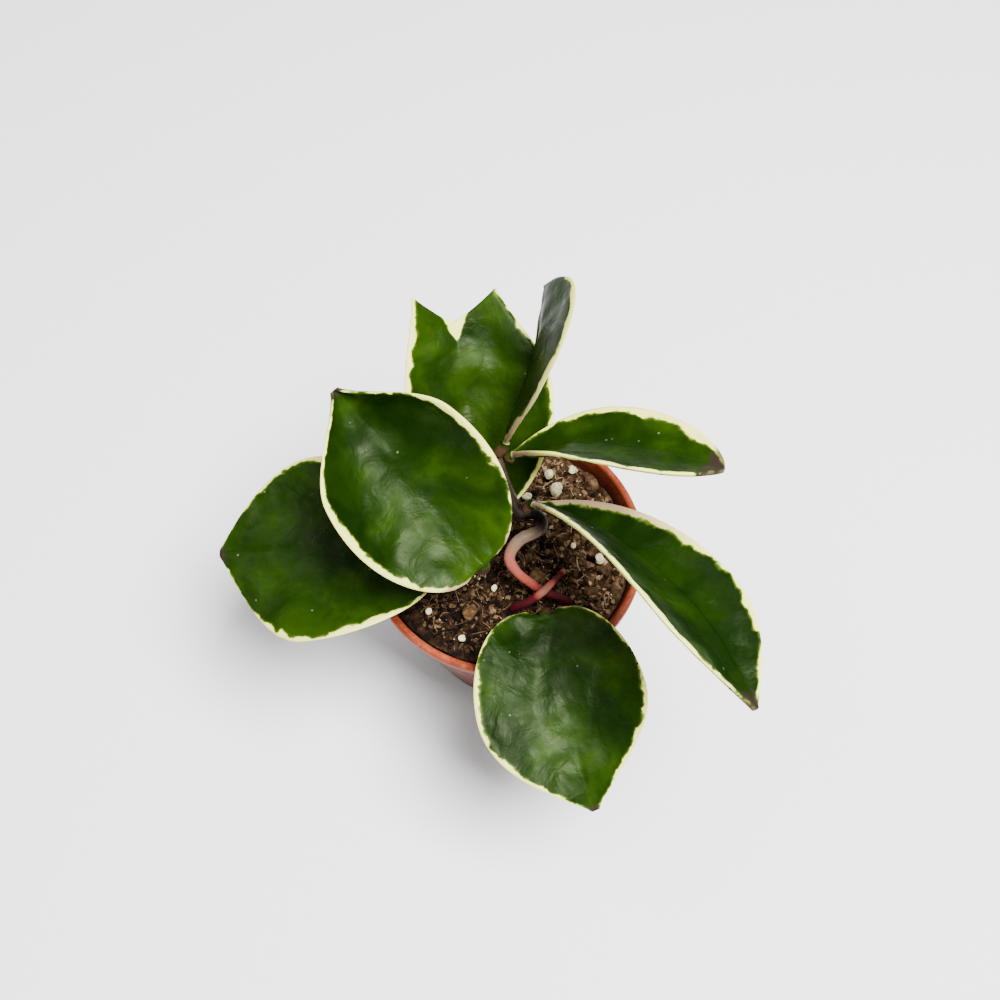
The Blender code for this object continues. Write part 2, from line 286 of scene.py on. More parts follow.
def leaf_skin():
    """Thick waxy leaf: green middle, ragged pale green step, cream edge, dark dry tip."""
    n = Nodes("leaf_skin")
    edge = n.attribute("edge_mm")
    cream = n.attribute("cream_mm")
    along = n.attribute("along")
    under = n.attribute("under")
    tone = n.attribute("tone")
    warm = n.attribute("warm")
    ragged = n.maths("SUBTRACT", n.grain(3.0, 3.0, 0.50, 0.5), 0.5)
    inside = n.maths("SUBTRACT", edge, cream)
    inside = n.maths("MULTIPLY_ADD", ragged, 2.8, inside)
    mottle = n.grain(11.0, 3.0, 0.5, 0.5)
    fine = n.grain(1.3, 4.0, 0.6, 0.6)
    shade = n.maths("ADD", n.maths("MULTIPLY_ADD", fine, 0.10, mottle), tone)
    green = n.colours(shade, [(0.36, (0.0024, 0.0105, 0.0001)), (0.56, (0.0066, 0.0215, 0.0001)),
                              (0.80, (0.0190, 0.0480, 0.0002))])
    step = n.ramp(inside, -0.16, 0.26)
    pale = n.blend(n.ramp(inside, 0.0, 0.75), (0.050, 0.095, 0.004), green)
    edge_cream = n.blend(fine, (0.76, 0.76, 0.13), (0.93, 0.93, 0.27))
    edge_cream = n.blend(warm, edge_cream, (0.36, 0.25, 0.13))
    colour = n.blend(step, edge_cream, pale)
    colour = n.blend(n.maths("MULTIPLY", under, 0.35), colour, (0.010, 0.020, 0.003))
    tip = n.ramp(n.maths("MULTIPLY_ADD", ragged, 0.06, n.attribute("dry")), 0.0, 0.03)
    colour = n.blend(n.maths("MULTIPLY", tip, 0.88), colour, (0.022, 0.013, 0.011))
    stalk = n.ramp(along, -0.02, -0.10)
    colour = n.blend(stalk, colour, (0.055, 0.026, 0.014))
    specks = n.add("ShaderNodeTexVoronoi")
    n.set(specks, {"Vector": n.place(), "Scale": 420.0, "Randomness": 1.0})
    dot = n.ramp(specks.outputs["Distance"], 0.13, 0.05)
    rare = n.ramp(n.grain(2.4, 1.0), 0.60, 0.66)
    dust = n.maths("MULTIPLY", dot, rare)
    colour = n.blend(n.maths("MULTIPLY", dust, 0.4), colour, (0.20, 0.28, 0.14))
    n.link(colour, n.shader.inputs["Base Color"])
    n.polish(n.grain(4.5, 4.0, 0.6, 0.8), 0.27, 0.48)
    n.shader.inputs["IOR"].default_value = 1.45
    n.shader.inputs["Specular IOR Level"].default_value = 0.095
    n.shader.inputs["Specular Tint"].default_value = (0.86, 1.0, 0.62, 1)
    swell = n.grain(4.2, 3.0, 0.5, 0.7)
    n.pit(n.maths("MULTIPLY_ADD", fine, 0.10, swell), 0.55, 0.45)
    return n.material


def stem_skin():
    """Soft stem: crimson where it is young, through salmon to beige and dark brown, and near black where shade
    is painted on it.
    """
    n = Nodes("stem_skin")
    streak = n.maths("SUBTRACT", n.grain(1.6), 0.5)
    shade = n.maths("MULTIPLY_ADD", streak, 0.20, n.attribute("age_and_shade"))
    # The ramp's dark end is also painted shade: near black where stem_main turns under leaf_right_long and
    # climbs into the leaves.
    colour = n.colours(shade, [(0.0, (0.040, 0.003, 0.006)), (0.22, (0.095, 0.007, 0.012)),
                               (0.38, (0.36, 0.065, 0.044)), (0.48, (0.32, 0.100, 0.066)),
                               (0.62, (0.18, 0.118, 0.074)), (0.80, (0.050, 0.027, 0.016)),
                               (1.0, (0.007, 0.0035, 0.002))])
    n.link(colour, n.shader.inputs["Base Color"])
    n.shader.inputs["Specular IOR Level"].default_value = 0.16
    n.polish(n.grain(1.0), 0.34, 0.6)
    n.pit(n.grain(0.9, 4.0), 0.15, 0.6)
    return n.material


def pot_plastic():
    """Terracotta-coloured moulded plastic: satin, faintly mottled, dusty at the lip, with painted shade
    darkening the wall below the lip.
    """
    n = Nodes("pot_plastic")
    mottle = n.grain(7.0, 5.0, 0.6)
    fine = n.grain(0.8, 3.0)
    colour = n.colours(mottle, [(0.3, (0.120, 0.020, 0.008)), (0.5, (0.190, 0.031, 0.012)),
                                (0.72, (0.340, 0.074, 0.028))])
    split = n.add("ShaderNodeSeparateXYZ")
    n.link(n.place(), split.inputs[0])
    # lip is 1 at the lip and 0 down the wall; below the lip the colour is darkened towards deep brown as
    # painted shade under the rim.
    lip = n.ramp(split.outputs["Z"], (RIM_Z - 3.5) * MM, (RIM_Z - 1.5) * MM)
    colour = n.blend(lip, n.blend(0.85, colour, (0.050, 0.010, 0.006)), colour)
    dust = n.maths("MULTIPLY", n.ramp(fine, 0.5, 0.75), n.maths("MULTIPLY", lip, 0.22))
    colour = n.blend(dust, colour, (0.50, 0.20, 0.11))
    n.link(colour, n.shader.inputs["Base Color"])
    n.shader.inputs["Specular IOR Level"].default_value = 0.10
    n.polish(mottle, 0.34, 0.52)
    n.pit(n.maths("MULTIPLY_ADD", fine, 0.4, mottle), 0.25, 0.5)
    return n.material


def peat():
    """Peat: near black to warm brown crumbs, with pale dry threads; the tone it reads also carries painted
    shade, in pits and towards the front left.
    """
    n = Nodes("peat")
    grit = n.maths("MULTIPLY", n.grain(1.5, 6.0, 0.72), 0.9)
    tone = n.maths("MULTIPLY_ADD", n.attribute("tone"), 0.6, grit)
    colour = n.colours(tone, [(0.32, (0.003, 0.0012, 0.0005)), (0.50, (0.026, 0.0115, 0.0045)),
                              (0.67, (0.090, 0.048, 0.022)), (0.86, (0.22, 0.135, 0.065)),
                              (1.0, (0.42, 0.30, 0.17))])
    n.link(colour, n.shader.inputs["Base Color"])
    n.shader.inputs["Roughness"].default_value = 0.92
    n.shader.inputs["Specular IOR Level"].default_value = 0.12
    n.pit(n.grain(0.7, 6.0, 0.7), 0.5, 0.9)
    return n.material


def perlite():
    """Perlite: chalky off-white with grey pits."""
    n = Nodes("perlite")
    pits = n.grain(0.8, 4.0, 0.7)
    colour = n.colours(pits, [(0.3, (0.20, 0.15, 0.07)), (0.46, (0.72, 0.64, 0.36)), (0.7, (0.95, 0.90, 0.60))])
    n.link(colour, n.shader.inputs["Base Color"])
    n.shader.inputs["Roughness"].default_value = 0.9
    n.shader.inputs["Specular IOR Level"].default_value = 0.2
    n.pit(pits, 0.4, 0.8)
    return n.material


def bark():
    """Bark chips: layered warm brown."""
    n = Nodes("bark")
    layers = n.grain(1.3, 5.0, 0.65)
    colour = n.colours(layers, [(0.3, (0.014, 0.006, 0.002)), (0.5, (0.070, 0.036, 0.013)),
                                (0.7, (0.190, 0.110, 0.045))])
    n.link(colour, n.shader.inputs["Base Color"])
    n.shader.inputs["Roughness"].default_value = 0.85
    n.shader.inputs["Specular IOR Level"].default_value = 0.15
    n.pit(layers, 0.35, 0.8)
    return n.material


# ---------------------------------------------------------------- pot

def inner_radius(z):
    t = (z - FLOOR) / (RIM_Z - FLOOR)
    return mix((BASE_RADIUS - WALL, RIM_RADIUS - LIP_WIDTH), t)


def pot_profile():
    """(radius, height) pairs up the outside, over the rolled lip and down the inside."""
    lip = LIP_WIDTH / 2
    crown = RIM_RADIUS - lip
    profile = [(BASE_RADIUS - 0.8, 0), (BASE_RADIUS - 0.25, 0.2), (BASE_RADIUS, 0.8)]
    profile.append((RIM_RADIUS - WALL - 0.1, RIM_Z - RIM_BAND - 0.9))
    profile.append((RIM_RADIUS - WALL + 0.1, RIM_Z - RIM_BAND - 0.5))
    profile.append((RIM_RADIUS - 0.1, RIM_Z - RIM_BAND - 0.1))
    for step in range(13):
        angle = math.pi * step / 12
        profile.append((crown + lip * math.cos(angle), RIM_Z - lip + lip * math.sin(angle)))
    profile.append((inner_radius(RIM_Z - 4), RIM_Z - 4))
    profile.append((inner_radius(FLOOR + 1) - 0.1, FLOOR + 1))
    profile.append((inner_radius(FLOOR) - 1, FLOOR))
    return profile


def make_pot(material):
    """A disc drawn up ring by ring into the pot, then drilled for drainage."""
    profile = pot_profile()
    radius, height = profile[0]
    deselect()
    bpy.ops.mesh.primitive_circle_add(vertices=160, radius=radius * MM, fill_type="NGON",
                                      location=(0, 0, height * MM))
    pot = bpy.context.object
    pot.name = "nursery_pot"
    bpy.ops.object.transform_apply(location=True)
    bpy.ops.object.mode_set(mode="EDIT")
    for next_radius, next_height in profile[1:]:
        grow = next_radius / radius
        lift = (next_height - height) * MM
        bpy.ops.mesh.extrude_region_move(TRANSFORM_OT_translate={"value": (0, 0, lift)})
        bpy.ops.transform.resize(value=(grow, grow, 1), center_override=(0, 0, next_height * MM))
        radius, height = next_radius, next_height
    bpy.ops.mesh.select_all(action="SELECT")
    bpy.ops.mesh.normals_make_consistent(inside=False)
    bpy.ops.object.mode_set(mode="OBJECT")
    for hole in range(DRAIN_HOLES):
        drill_drain(pot, math.tau * hole / DRAIN_HOLES)
    pot.data.materials.clear()
    pot.data.materials.append(material)
    bpy.ops.object.shade_smooth_by_angle(angle=math.radians(35))
    return finish_piece(pot, "pot_plastic", "pot")


def drill_drain(pot, angle):
    """One drainage hole through the floor, cut with a short rod."""
    spot = (DRAIN_CIRCLE * math.cos(angle) * MM, DRAIN_CIRCLE * math.sin(angle) * MM, FLOOR / 2 * MM)
    deselect()
    bpy.ops.mesh.primitive_cylinder_add(vertices=32, radius=DRAIN_RADIUS * MM, depth=6 * MM, location=spot)
    rod = bpy.context.object
    cut = pot.modifiers.new("drain", "BOOLEAN")
    cut.object = rod
    cut.operation = "DIFFERENCE"
    deselect()
    bpy.context.view_layer.objects.active = pot
    pot.select_set(True)
    bpy.ops.object.modifier_apply(modifier=cut.name)
    bpy.data.objects.remove(rod, do_unlink=True)


# ---------------------------------------------------------------- soil

def soil_height(x, y):
    """Smooth height of the peat, as the loose pieces rest on it."""
    mounds = 0.30 * math.sin(x * 0.33 + 1.0) * math.cos(y * 0.29) + 0.18 * math.sin(x * 0.7 - y * 0.6)
    return SOIL_CENTRE_Z - SOIL_SLOPE * (x + y) + mounds


def crumbly_height(x, y):
    """The same surface with clods and pits."""
    clods = 1.5 * abs(wobble(x, y, 3.0, 4.5)) + 0.9 * wobble(x, y, 9.0, 2.0) + 0.45 * wobble(x, y, 5.0, 0.9)
    return soil_height(x, y) - 0.5 + clods


def make_soil(material):
    rings, around = 130, 320
    bottom = FLOOR + GAP
    points = [(0, 0, crumbly_height(0, 0))]
    for ring in range(1, rings + 1):
        for step in range(around):
            angle = math.tau * step / around
            edge = inner_radius(soil_height(26 * math.cos(angle), 26 * math.sin(angle))) - GAP / 2
            radius = edge * ring / rings
            x, y = radius * math.cos(angle), radius * math.sin(angle)
            points.append((x, y, crumbly_height(x, y)))
    for step in range(around):
        angle = math.tau * step / around
        radius = inner_radius(bottom) - GAP
        points.append((radius * math.cos(angle), radius * math.sin(angle), bottom))
    faces = []
    for step in range(around):
        after = (step + 1) % around
        faces.append((0, 1 + step, 1 + after))
        for ring in range(rings):
            here = 1 + ring * around
            faces.append((here + step, here + around + step, here + around + after, here + after))
    faces.append([1 + rings * around + step for step in range(around)])
    soil = mesh_piece("peat_plug", points, faces, material)
    # It also grows darker towards the front left and lighter towards the back right: painted shade and light
    # across the soil.
    # Tone rises with height above the smooth surface, so the pits are painted darker as shade and the clods
    # painted lighter.
    tones = [0.22 * (z - soil_height(x, y)) + 0.35 * painted_light_across_soil(x, y) - 0.05 for x, y, z in points]
    write_attribute(soil, "tone", tones)
    return finish_piece(soil, "peat", "soil")


def painted_light_across_soil(x, y):
    """Painted light across the soil: 0 where it is painted darkest, as shade, at the front left, to 1 where it
    is painted lit, at the back right.
    """
    return max(0.0, min(1.0, 0.45 + 0.026 * x + 0.012 * y + 0.35 * wobble(x, y, 2.0, 8.0)))


def in_pot(chance, reach=26.5):
    """A random spot on the soil."""
    angle = chance.uniform(0, math.tau)
    radius = reach * math.sqrt(chance.random())
    return radius * math.cos(angle), radius * math.sin(angle)


def make_crumbs(name, material, slot, count, sizes, tones):
    """Loose crumbs, many small rough lumps in one piece."""
    chance = random.Random(name)
    points, faces, values = [], [], []
    for _ in range(count):
        x, y = in_pot(chance)
        size = chance.uniform(*sizes)
        # Crumbs are darkened towards the front left: painted shade across the soil.
        tone = chance.uniform(*tones) - 0.4 * (1 - painted_light_across_soil(x, y))
        flat = chance.uniform(0.35, 1.0)
        start = len(points)
        for corner in LUMP_POINTS:
            stretch = size * chance.uniform(0.55, 1.3)
            points.append((x + corner[0] * stretch, y + corner[1] * stretch,
                           crumbly_height(x, y) + 0.1 + corner[2] * stretch * flat))
            values.append(tone)
        faces += [tuple(start + index for index in face) for face in LUMP_FACES]
    crumbs = mesh_piece(name, points, faces, material, smooth=30)
    write_attribute(crumbs, "tone", values)
    return finish_piece(crumbs, slot)


def make_flakes(material):
    """Torn flakes of bark and straw that lie at all angles."""
    chance = random.Random(57)
    points, faces, tones = [], [], []
    for _ in range(2200):
        x, y = in_pot(chance, 25.8)
        along = Vector((chance.uniform(-1, 1), chance.uniform(-1, 1), chance.uniform(-0.45, 0.45))).normalized()
        across = along.cross(Vector((chance.uniform(-0.5, 0.5), chance.uniform(-0.5, 0.5), 1))).normalized()
        up = across.cross(along)
        length = chance.uniform(0.25, 1.05)
        width = length * chance.uniform(0.10, 0.42)
        thick = chance.uniform(0.04, 0.12)
        middle = Vector((x, y, crumbly_height(x, y) + 0.15 + 0.4 * abs(along.z) * length))
        # Flakes are darkened towards the front left: painted shade across the soil.
        tone = chance.uniform(-0.1, 1.0) - 0.45 * (1 - painted_light_across_soil(x, y))
        start = len(points)
        outline = [(chance.uniform(0.8, 1.0), chance.uniform(-0.3, 0.3)), (chance.uniform(0.1, 0.5), 1.0),
                   (chance.uniform(-0.6, -0.1), chance.uniform(0.6, 1.0)),
                   (chance.uniform(-1.0, -0.8), chance.uniform(-0.3, 0.3)),
                   (chance.uniform(-0.5, 0.0), -1.0), (chance.uniform(0.2, 0.6), chance.uniform(-1.0, -0.6))]
        for lift in (thick, -thick):
            for end, side in outline:
                points.append((middle + along * end * length + across * side * width + up * lift)[:])
                tones.append(tone)
        faces.append(tuple(start + number for number in range(6)))
        faces.append(tuple(start + 11 - number for number in range(6)))
        for number in range(6):
            after = (number + 1) % 6
            faces.append((start + number, start + 6 + number, start + 6 + after, start + after))
    flakes = mesh_piece("peat_flakes", points, faces, material, smooth=30)
    write_attribute(flakes, "tone", tones)
    return finish_piece(flakes, "peat")


def make_fibres(material):
    """Dry root threads and straw that lie over the peat."""
    chance = random.Random(33)
    points, faces, tones = [], [], []
    for _ in range(560):
        x, y = in_pot(chance, 25.5)
        heading = chance.uniform(0, math.tau)
        bend = chance.uniform(-0.22, 0.22)
        length = chance.uniform(1.0, 5.0)
        thick = chance.uniform(0.05, 0.17)
        # Fibres are darkened towards the front left: painted shade across the soil.
        tone = chance.uniform(0.0, 1.15) - 0.6 * (1 - painted_light_across_soil(x, y))
        tilt = chance.uniform(0.0, 0.9)
        start = len(points)
        for step in range(6):
            lift = 0.2 + tilt * math.sin(math.pi * step / 5)
            z = crumbly_height(x, y) + lift
            side_x, side_y = -math.sin(heading) * thick, math.cos(heading) * thick
            points += [(x + side_x, y + side_y, z), (x, y, z + thick), (x - side_x, y - side_y, z),
                       (x, y, z - thick)]
            tones += [tone] * 4
            heading += bend
            x += math.cos(heading) * length / 5
            y += math.sin(heading) * length / 5
            if math.hypot(x, y) > 26.8:
                x, y = x * 0.96, y * 0.96
        for step in range(5):
            low = start + step * 4
            for side in range(4):
                after = (side + 1) % 4
                faces.append((low + side, low + after, low + 4 + after, low + 4 + side))
        faces.append((start, start + 3, start + 2, start + 1))
        faces.append(tuple(start + 20 + side for side in range(4)))
    fibres = mesh_piece("peat_fibres", points, faces, material)
    write_attribute(fibres, "tone", tones)
    return finish_piece(fibres, "peat")


def lump_pattern():
    """Corners and faces of a ball of twenty facets."""
    build = bmesh.new()
    bmesh.ops.create_icosphere(build, subdivisions=1, radius=1)
    corners = [tuple(vertex.co) for vertex in build.verts]
    facets = [tuple(vertex.index for vertex in face.verts) for face in build.faces]
    build.free()
    return corners, facets


LUMP_POINTS, LUMP_FACES = lump_pattern()


def make_lump(node, material, sides, slot):
    """A loose grain or chip: a fine ball chipped flat on many sides, fitted to the node's box."""
    low, high = (Vector(corner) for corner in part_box(node))
    chance = random.Random(node)
    planes = []
    for _ in range(sides):
        facing = Vector((chance.gauss(0, 1), chance.gauss(0, 1), chance.gauss(0, 1))).normalized()
        planes.append((facing, chance.uniform(0.62, 0.95)))
    deselect()
    bpy.ops.mesh.primitive_ico_sphere_add(subdivisions=4, radius=1)
    lump = bpy.context.object
    lump.name = node + "_lump"
    chipped = []
    for vertex in lump.data.vertices:
        reach = min(depth / max(0.2, vertex.co.dot(facing)) for facing, depth in planes)
        pitted = 1 + 0.07 * noise.noise(vertex.co * 4 + low * 900)
        chipped.append(vertex.co * min(1.0, reach) * pitted)
    least = Vector(min(spot[axis] for spot in chipped) for axis in range(3))
    most = Vector(max(spot[axis] for spot in chipped) for axis in range(3))
    for vertex, spot in zip(lump.data.vertices, chipped):
        share = [(spot[axis] - least[axis]) / (most[axis] - least[axis]) for axis in range(3)]
        vertex.co = Vector(mix((low[axis], high[axis]), share[axis]) for axis in range(3))
    lump.data.materials.append(material)
    lump.data.shade_smooth()
    return finish_piece(lump, slot, node)


# ---------------------------------------------------------------- stems

# Each stem: (x, y, z, radius, age and shade) along its middle; the last number runs from crimson to dark brown,
# and near 1 it paints the stem near black as shade
STEMS = {
    "stem_main": [
        (13.2, -12.4, 41.5, 0.9, 0.1), (13.5, -13.0, 46.0, 0.9, 0.05), (11.2, -13.0, 48.6, 0.9, 0.1),
        (8.3, -12.5, 50.0, 0.9, 0.18), (5.0, -11.2, 52.0, 0.95, 0.36), (2.2, -9.8, 54.5, 1.0, 0.42),
        (0.8, -8.2, 57.0, 1.15, 0.46), (1.6, -6.4, 58.9, 1.25, 0.58), (3.3, -4.9, 60.0, 1.25, 0.64),
        # From its turn under leaf_right_long onwards stem_main is painted near black to dark brown: painted
        # shade as well as old bark.
        (5.6, -3.9, 60.2, 1.2, 0.67), (7.4, -2.5, 60.0, 1.15, 0.90), (7.3, -0.4, 60.0, 1.15, 1.0),
        (5.5, 0.6, 60.4, 1.2, 1.0), (3.5, -0.1, 61.5, 1.2, 1.0), (2.2, -0.9, 63.8, 1.2, 1.0),
        (1.2, -0.2, 67.4, 1.2, 0.97), (-0.6, 2.6, 72.0, 1.15, 0.93), (-2.0, 4.6, 75.6, 1.3, 0.85),
        (-2.2, 4.8, 76.6, 0.8, 0.8),
    ],
    "stem_left": [
        (-6.2, -4.6, 41.5, 1.1, 0.9), (-6.8, -5.0, 46.0, 1.2, 0.9), (-7.8, -5.6, 50.0, 1.2, 0.8),
        (-9.0, -6.4, 53.4, 1.4, 0.75), (-9.2, -6.6, 54.6, 0.9, 0.75),
    ],
    "stem_runner": [
        (12.8, -5.2, 41.5, 0.65, 0.85), (12.6, -5.8, 45.8, 0.65, 0.84), (11.2, -8.7, 49.4, 0.65, 0.10),
        (8.2, -13.2, 52.6, 0.8, 0.55), (6.0, -14.6, 51.4, 0.85, 0.16), (3.8, -15.0, 49.2, 0.95, 0.08),
        (1.9, -14.8, 46.6, 0.85, 0.16), (1.6, -14.7, 42.0, 0.8, 0.1),
    ],
}
STEM_SIDES = 20


def smooth_path(points, steps=8):
    """Catmull-Rom points through a list, each with its radius and its age-and-shade number."""
    padded = [points[0]] + list(points) + [points[-1]]
    path = []
    for before, start, end, after in zip(padded, padded[1:], padded[2:], padded[3:]):
        for step in range(steps):
            t = step / steps
            path.append([0.5 * (2 * b + (c - a) * t + (2 * a - 5 * b + 4 * c - d) * t * t
                                + (3 * b - a - 3 * c + d) * t ** 3)
                         for a, b, c, d in zip(before, start, end, after)])
    path.append(list(points[-1]))
    return path


def make_stem(name, material):
    """A round, slightly lumpy stem swept along its path."""
    path = smooth_path(STEMS[name])
    points, faces, ages_and_shade = [], [], []
    side = Vector((0, 0, 1))
    for number, (x, y, z, radius, age_and_shade) in enumerate(path):
        ahead = Vector(path[min(number + 1, len(path) - 1)][:3])
        behind = Vector(path[max(number - 1, 0)][:3])
        along = (ahead - behind).normalized()
        side = (side - along * side.dot(along)).normalized()
        top = along.cross(side)
        for step in range(STEM_SIDES):
            angle = math.tau * step / STEM_SIDES
            swell = radius * (1 + 0.07 * wobble(x + math.cos(angle), y + math.sin(angle), z, 1.6))
            spot = Vector((x, y, z)) + (side * math.cos(angle) + top * math.sin(angle)) * swell
            points.append(spot[:])
            ages_and_shade.append(age_and_shade)
    for ring in range(len(path) - 1):
        for step in range(STEM_SIDES):
            here = ring * STEM_SIDES + step
            after = ring * STEM_SIDES + (step + 1) % STEM_SIDES
            faces.append((here, after, after + STEM_SIDES, here + STEM_SIDES))
    faces.append(tuple(range(STEM_SIDES)))
    faces.append(tuple(range(len(points) - STEM_SIDES, len(points))))
    stem = mesh_piece(name + "_skin", points, faces, material, smooth=60)
    write_attribute(stem, "age_and_shade", ages_and_shade)
    return finish_piece(stem, "stem_skin", name)


# ---------------------------------------------------------------- leaves

# The blades as built: headings, rises and rolls in degrees at base and tip, halves left and
# right. `cream` lists the width of the pale edge along the left and the right side, and `notch`
# its depth and reach at a notched tip. `warm` is how far up the blade that edge is beige,
# `tone` and `glow` lighten the whole green and its base, and `soft` widens the midrib's trough.
LEAVES = {
    "leaf_back": dict(
        base=(-1.5, 0.5, 62), heading=(114, 102), rise=(39, 39), roll=(-15, 13),
        length=39.5, width=(14, 17.5), widest=0.6, base_round=0.65, tip_round=1.3,
        tip_width=(0.6, 0.55), tip_lobe=(6, 5.5), fold=(17, 8), cup=(25, 13),
        petiole=[(-0.6, -0.5, 61.4), (-1.0, -0.3, 61.5)], notch=(3.3, 0.42), tone=0.07, dry=2,
        cream=([(0, 0.56), (0.5, 0.7), (0.55, 1.13), (0.7, 1.13), (0.84, 0.84), (0.9, 1.34),
                (0.96, 0.7), (1, 0.21)],
               [(0, 0.99), (0.3, 0.56), (0.45, 0.56), (0.55, 0.99), (0.7, 0.35), (0.92, 0.28),
                (1, 0.35)])),
    "leaf_upright": dict(
        base=(-0.2, 6.1, 79.9), heading=(62.5, 84), rise=(48, 8.5), roll=(96, 97),
        length=32, width=(15.7, 7.0), widest=0.61, base_round=1.08, tip_round=0.44,
        fold=(9, 14.5), cup=(6.5, 16.5), petiole=[(-1.7, 5.0, 77.5), (-1.5, 5.2, 78.1)],
        # leaf_upright's low tone gives its dark olive and also paints shade on its dimly lit face.
        warm=(0.55, 0.5), tone=-0.16,
        cream=([(0, 0.77), (0.5, 0.7), (0.8, 0.92), (0.97, 0.84), (1, 0.21)],
               [(0, 0.7), (0.9, 0.56), (1, 0.14)])),
    "leaf_right_top": dict(
        base=(1.2, 5.0, 77.0), heading=(-3.5, -27), rise=(24, 13.5), roll=(-29, -14.5),
        length=42.3, width=(9.7, 12.7), widest=0.5, base_round=1.0, tip_round=0.7,
        fold=(25, 10), cup=(16, 16), petiole=[(0.5, 4.7, 75.9), (0.8, 4.8, 76.2)],
        warm=(0.1, 0.25), tone=0.0, dry=0.915,
        cream=([(0, 0.21), (0.1, 0.28), (0.18, 0.56), (0.28, 1.2), (0.39, 1.27), (0.47, 0.99),
                (0.57, 1.76), (0.66, 1.62), (0.77, 1.48), (0.83, 1.76), (0.9, 1.27), (0.96, 0.99),
                (1, 0.14)],
               [(0, 0.63), (0.1, 0.7), (0.22, 0.77), (0.3, 0.63), (0.35, 0.35), (0.45, 0.28),
                (0.52, 0.56), (0.6, 0.28), (0.73, 0.21), (0.8, 0.56), (0.88, 0.49), (0.92, 0.07),
                (1, 0)])),
    "leaf_right_long": dict(
        base=(5.5, -1, 67.5), heading=(-35, -68), rise=(31, -1), roll=(-16, -20),
        length=64, width=(10, 15.5), widest=0.67, base_round=1.15, tip_round=1.2,
        fold=(38, 20), cup=(14, 16), petiole=[(4.0, -0.9, 65.2), (4.4, -0.9, 66.1)],
        warm=(0.60, 0.16), tone=-0.16, dry=0.95,
        cream=([(0, 0.28), (0.06, 0.49), (0.12, 0.84), (0.18, 0.99), (0.24, 1.41), (0.3, 1.2),
                (0.34, 1.13), (0.47, 0.92), (0.52, 1.2), (0.57, 0.56), (0.66, 0.21), (0.69, 0.7),
                (0.73, 0.99), (0.8, 0.56), (0.86, 0.07), (0.9, 0.49), (0.92, 0.77), (0.96, 0.21),
                (1, 0)],
               [(0, 0.35), (0.05, 0.49), (0.17, 0.7), (0.33, 0.7), (0.49, 0.77), (0.6, 0.92),
                (0.65, 1.13), (0.71, 1.13), (0.76, 0.92), (0.81, 0.56), (0.85, 0.18),
                (0.9, 0.04), (1, 0)])),
    "leaf_front": dict(
        base=(8, -19.5, 52), heading=(-81, -67), rise=(-4, -26), roll=(5, 5),
        length=39.5, width=(17.5, 18), widest=0.45, base_round=0.5, tip_round=1.25,
        base_width=(0.22, 0.22), lobe=(1.7, 1.8), fold=(10, 3), cup=(16, 18),
        petiole=[(9.4, -15.6, 41.5), (9.2, -16.2, 50.5)], tone=-0.06,
        cream=([(0, 0), (0.25, 0.04), (0.4, 0.35), (0.55, 0.63), (0.7, 0.92), (0.85, 0.63),
                (0.93, 0.21), (1, 0.21)],
               [(0, 0), (0.15, 0.04), (0.25, 0.49), (0.4, 0.84), (0.55, 0.63), (0.7, 0.77),
                (0.85, 0.63), (0.93, 0.35), (0.98, 0.07), (1, 0.07)])),
    "leaf_left_top": dict(
        base=(-4.5, -15, 70), heading=(134, 136), rise=(16, 25), roll=(-20, -16),
        length=44, width=(20, 19), widest=0.6, base_round=0.55, tip_round=1.25,
        base_width=(0.25, 0.18), lobe=(1.2, 0.8), fold=(-2, 38), cup=(19, 46), soft=0.8,
        petiole=[(-8.6, -7.7, 54.6), (-4.0, -14.5, 63.0)], tone=-0.05, glow=0.22,
        cream=([(0, 0.84), (0.13, 0.92), (0.22, 1.13), (0.3, 0.99), (0.42, 1.34), (0.5, 1.34),
                (0.6, 0.92), (0.7, 0.88), (0.84, 0.7), (0.88, 0.49), (0.92, 0.14), (1, 0)],
               [(0, 0), (0.2, 0.04), (0.26, 0.21), (0.29, 1.06), (0.4, 1.55), (0.5, 1.2),
                (0.58, 1.34), (0.67, 0.92), (0.73, 0.56), (0.77, 0.07), (1, 0)])),
    "leaf_left_low": dict(
        base=(-14, -9, 55), heading=(173, 180), rise=(6, -9), roll=(2, -18),
        length=46, width=(20, 20.5), widest=0.55, base_round=0.5, tip_round=1.05,
        base_width=(0.15, 0.15), fold=(12, -1), cup=(18, 9),
        petiole=[(-10.9, -7.4, 53.4), (-12.0, -8.6, 54.6)], tone=0.0,
        cream=([(0, 0.56), (0.1, 0.7), (0.19, 1.13), (0.33, 1.27), (0.44, 0.92), (0.49, 0.56),
                (0.59, 0.49), (0.66, 0.84), (0.74, 0.7), (0.77, 0.07), (0.81, 0.35), (0.85, 0.07),
                (1, 0)],
               [(0, 0.7), (0.46, 1.27), (0.55, 1.06), (0.63, 0.77), (0.7, 0.49), (0.76, 0.28),
                (0.81, 0.63), (0.84, 0.21), (0.9, 0.07), (1, 0)])),
}


def half_width(leaf, side, s):
    widest = leaf["widest"]
    if s < widest:
        least = leaf.get("base_width", (NARROWEST, NARROWEST))[side]
        shape = (1 - (1 - s / widest) ** 2) ** leaf["base_round"]
    else:
        least = leaf.get("tip_width", (NARROWEST, NARROWEST))[side]
        shape = (1 - ((s - widest) / (1 - widest)) ** 2) ** leaf["tip_round"]
    return leaf["width"][side] * (least + (1 - least) * shape)


